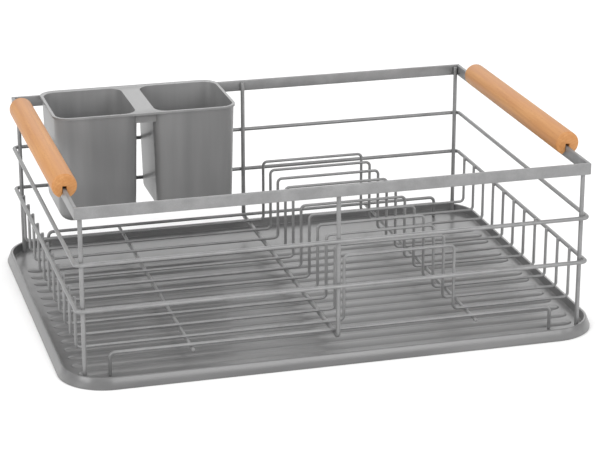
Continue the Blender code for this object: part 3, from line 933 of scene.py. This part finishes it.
# ---- the cutlery holder ----------------------------------------------------------------
@dataclass
class CutleryHolder:
    """The twin cup: a thin lipped flange, two tapered cups, webs and the hook behind."""

    node: str = "cutlery_holder"
    cup_width: float = 76.0 * MM
    cup_depth: float = 89.5 * MM
    cup_wall: float = 1.4 * MM
    cup_taper: float = 2.5 * MM
    cup_corner: float = 14.0 * MM
    cup_bottom_round: float = 10.0 * MM
    cup_spacing: float = 90.5 * MM
    flange: float = 2.2 * MM
    overhang: float = 1.2 * MM
    flange_corner: float = 15.2 * MM
    web_depth: float = 9.0 * MM
    web: float = 2.0 * MM
    web_inset: float = 7.0 * MM
    hook: float = 1.6 * MM
    hook_depth: float = 7.0 * MM
    hook_end_margin: float = 22.0 * MM
    lip_round: float = 0.55 * MM
    corner_steps: int = 12
    finish: MouldedPlastic = MouldedPlastic(
        "cup_plastic", (0.205, 0.205, 0.205), (0.16, 0.16, 0.161), (45.0, 45.0, 4.0),
        coat=0.3)
    low: Vector = field(init=False)
    high: Vector = field(init=False)

    def __post_init__(self) -> None:
        """Take the holder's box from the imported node."""
        self.low, self.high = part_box(self.node)

    def build(self) -> bpy.types.Object:
        """Model the holder as one moulding and dress it."""
        under = self.high.z - self.flange
        centre_y = self.low.y + self.overhang + self.cup_depth / 2
        centre_x = (self.low.x + self.high.x) / 2
        holder = self._rounded_block("twin_cup", Vector((self.low.x, self.low.y, under)),
                                     self.high, self.flange_corner)
        spots = [Vector((centre_x + side.value * self.cup_spacing / 2, centre_y, 0))
                 for side in Side]
        solid = self._cup(0.0, under + self.flange / 2)
        hollow = self._cup(self.cup_wall, self.high.z + self.flange)
        for spot in spots:
            cup = Bench.copy(solid, "cup_body", Matrix.Translation(spot))
            Bench.boolean(holder, cup, "UNION")
        for block in self._ribs(centre_x, centre_y, under):
            Bench.boolean(holder, block, "UNION")
        for spot in spots:
            cut = Bench.copy(hollow, "cup_hollow", Matrix.Translation(spot))
            Bench.boolean(holder, cut, "DIFFERENCE")
        for pattern in (solid, hollow):
            bpy.data.objects.remove(pattern)
        with Bench.editing(holder):
            bpy.ops.mesh.select_all(action="SELECT")
            bpy.ops.mesh.remove_doubles(threshold=1e-5)
            bpy.ops.mesh.dissolve_limited(angle_limit=math.radians(0.5))
        Bench.apply(holder, "BEVEL", width=self.lip_round, segments=3, limit_method="ANGLE",
                    angle_limit=math.radians(38), harden_normals=False)
        Bench.smooth(holder)
        return dress(holder, self.finish.material(), Body.HOLDER, Slot.CUP, self.node)

    def _rounded_block(self, name: str, low: Vector, high: Vector,
                       radius: float) -> bpy.types.Object:
        """Return a block between two corners with its upright edges rounded."""
        block = Bench.block(name, low, high)
        with Bench.editing(block, "EDGE"):
            Bench.pick_edges(lambda a, b: (a - b).to_2d().length < 1e-6)
            bpy.ops.mesh.bevel(offset=radius, segments=self.corner_steps, affect="EDGES")
        return block

    def _cup(self, wall: float, top: float) -> bpy.types.Object:
        """Return one tapered cup shape about the Z axis.

        Args:
            wall: How far it is set in from the cup's outside.
            top: The level of its top.

        Returns:
            The solid cup, or the cutter of its hollow where wall isn't 0.
        """
        bottom = self.low.z + wall
        half_x, half_y = self.cup_width / 2 - wall, self.cup_depth / 2 - wall
        cup = self._rounded_block("cup_pattern", Vector((-half_x, -half_y, bottom)),
                                  Vector((half_x, half_y, top)), self.cup_corner - wall)
        with Bench.editing(cup):
            Bench.pick_faces(lambda face: face.normal.z < -0.9)
            bpy.ops.transform.resize(value=(1 - self.cup_taper / half_x,
                                            1 - self.cup_taper / half_y, 1))
            bpy.ops.mesh.bevel(offset=self.cup_bottom_round - wall, segments=8, affect="EDGES")
        return cup

    def _ribs(self, centre_x: float, centre_y: float, under: float) -> list[bpy.types.Object]:
        """Return the two webs under the bridge and the hook behind the rear rim bar."""
        overlap = under + self.flange / 2
        gap = self.cup_spacing - self.cup_width
        reach = self.cup_corner * 0.7 + gap / 2
        inner = self.cup_depth / 2 - self.web_inset
        blocks = []
        for number, front in enumerate((centre_y - inner, centre_y + inner - self.web)):
            blocks.append(Bench.block(
                "web_%d" % number, (centre_x - reach, front, under - self.web_depth),
                (centre_x + reach, front + self.web, overlap)))
        blocks.append(Bench.block(
            "hook", (self.low.x + self.hook_end_margin, self.high.y - self.hook,
                     under - self.hook_depth),
            (self.high.x - self.hook_end_margin, self.high.y, overlap)))
        return blocks


# ---- welds -----------------------------------------------------------------------------
@dataclass
class Welds:
    """The small fused spots where wires and bars of the basket meet."""

    radius: float = 1.5 * MM
    flatten: float = 0.55
    plate_wires: int = 11
    above_edge: float = 3.0 * MM
    unevenness: float = 0.06
    turn_step: float = 1.7
    finish: PowderCoat = PowderCoat(name="weld_coat", dark=(0.25, 0.25, 0.257))

    def build(self) -> bpy.types.Object:
        """Model one spot, copy it to every joint and dress them as one piece."""
        Bench.clear()
        bpy.ops.mesh.primitive_ico_sphere_add(subdivisions=2, radius=self.radius)
        spot = Bench.settle(bpy.context.object, "weld_spot")
        with Bench.editing(spot, "VERT"):
            bpy.ops.mesh.select_all(action="SELECT")
            bpy.ops.transform.vertex_random(offset=self.radius * self.unevenness, uniform=0.6, seed=4)
            bpy.ops.transform.resize(value=(1, 1, self.flatten))
        copies = []
        for index, (place, axis) in enumerate(self._joints()):
            turn = axis.to_track_quat("Z", "Y").to_matrix().to_4x4()
            spin = Matrix.Rotation(index * self.turn_step, 4, "Z")
            copies.append(Bench.copy(spot, "weld_%03d" % index,
                                     Matrix.Translation(place) @ turn @ spin))
        bpy.data.objects.remove(spot)
        welds = Bench.join(copies, "weld_spots")
        Bench.smooth(welds, math.radians(60))
        return dress(welds, self.finish.material(), Body.BASKET, Slot.STEEL)

    def _joints(self) -> list[tuple[Vector, Vector]]:
        """Return the place of every joint and the axis along which its pieces face."""
        joints: list[tuple[Vector, Vector]] = []
        loops = [middle("upper_loop").z, middle("lower_loop").z]
        along_x, along_y, along_z = Vector((1, 0, 0)), Vector((0, 1, 0)), Vector((0, 0, 1))
        posts = [middle("corner_post_%s_%s" % (row.name.lower(), side.name.lower()))
                 for row in Row for side in Side]
        wire_low, wire_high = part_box("middle_u_wire")
        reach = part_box("corner_post_front_left")
        radius = (reach[1].x - reach[0].x) / 2
        posts += [Vector((0, wire_low.y + radius, 0)), Vector((0, wire_high.y - radius, 0))]
        rim_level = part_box("rim_bar_front")[0].z + self.above_edge
        for post in posts:
            face = math.copysign(radius + WELD_GAP / 2, post.y)
            joints += [(Vector((post.x, post.y + face, level)), along_y) for level in loops]
            joints.append((Vector((post.x, post.y + face, rim_level)), along_y))
        cross = [middle("cross_wire_left"), middle("cross_wire_right"), Vector((0, 0, 0))]
        floor_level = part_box("plate_wire_01")[0].z
        for index in range(self.plate_wires):
            low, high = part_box("plate_wire_%02d" % (index + 1))
            y = (low.y + high.y) / 2
            joints += [(Vector((x, y, loops[1])), along_x) for x in (low.x, high.x)]
            joints += [(Vector((spot.x, y, floor_level)), along_z) for spot in cross]
        return joints


# ---- the studio ------------------------------------------------------------------------
@dataclass
class Studio:
    """The pale floor, the soft lights and the camera."""

    floor_size: float = 14.0
    camera_place: tuple[float, float, float] = (-0.48169, -1.77404, 0.70610)
    camera_yaw: float = math.radians(-15.55)
    camera_pitch: float = math.radians(-19.52)
    lens: float = 130.03
    sensor: float = 36.0
    sky: Colour = (1.0, 1.0, 1.0)
    sky_strength: float = 0.75
    finish: PaleFloor = PaleFloor()

    def build(self) -> None:
        """Set up the floor, the surroundings, the lights and the camera."""
        self._floor()
        self._surroundings()
        self._softbox("top_light", (-0.25, 0.25, 1.7), (0.0, 0.0, 0.05), (2.2, 1.6), 11.5)
        self._softbox("left_light", (-1.8, -0.9, 0.92), (0.0, 0.0, 0.05), (0.9, 0.9), 15.0)
        self._softbox("front_light", (0.6, -2.2, 1.02), (0.0, 0.0, 0.02), (1.3, 0.7), 18.0)
        self._softbox("right_light", (1.75, -1.4, 0.98), (0.0, 0.0, 0.03), (0.7, 0.7), 8.0)
        self._softbox("rear_light", (0.5, 2.3, 1.05), (0.0, 0.0, 0.05), (2.6, 0.9), 8.5)
        self._camera()

    def _floor(self) -> None:
        """Lay the floor just under the tray."""
        Bench.clear()
        bpy.ops.mesh.primitive_plane_add(size=self.floor_size, location=(0, 0, -0.0002))
        floor = Bench.settle(bpy.context.object, "studio_floor")
        floor.data.materials.append(self.finish.material())

    def _surroundings(self) -> None:
        """Fill the surroundings with even, white light."""
        world = bpy.data.worlds.new("studio_surroundings")
        world.use_nodes = True
        background = world.node_tree.nodes["Background"]
        background.inputs["Color"].default_value = (*self.sky, 1.0)
        background.inputs["Strength"].default_value = self.sky_strength
        bpy.context.scene.world = world
        bpy.context.scene.view_settings.view_transform = "Standard"

    def _softbox(self, name: str, place: Sequence[float], aim: Sequence[float],
                 size: Sequence[float], power: float, colour: Colour = (1, 1, 1)) -> None:
        """Add one rectangular soft light that faces a point."""
        light = bpy.data.lights.new(name, "AREA")
        light.shape = "RECTANGLE"
        light.size, light.size_y = size
        light.energy = power
        light.color = colour
        lamp = bpy.data.objects.new(name, light)
        bpy.context.scene.collection.objects.link(lamp)
        lamp.location = place
        lamp.rotation_euler = (Vector(place) - Vector(aim)).to_track_quat("Z", "Y").to_euler()

    def _camera(self) -> None:
        """Place the camera."""
        data = bpy.data.cameras.new("studio_camera")
        data.lens = self.lens
        data.sensor_width = self.sensor
        data.clip_start, data.clip_end = 0.05, 50.0
        camera = bpy.data.objects.new("studio_camera", data)
        bpy.context.scene.collection.objects.link(camera)
        camera.location = self.camera_place
        camera.rotation_euler = (math.pi / 2 + self.camera_pitch, 0.0, self.camera_yaw)
        bpy.context.scene.camera = camera


def main() -> None:
    """Build every sub-assembly in order."""
    logging.basicConfig(level=logging.INFO, format="%(message)s")
    Studio().build()
    for assembly in (DripTray(), Rim(), Basket(), PlateRack(), Handles(), CutleryHolder(),
                     Welds()):
        assembly.build()


if __name__ == "__main__":
    main()
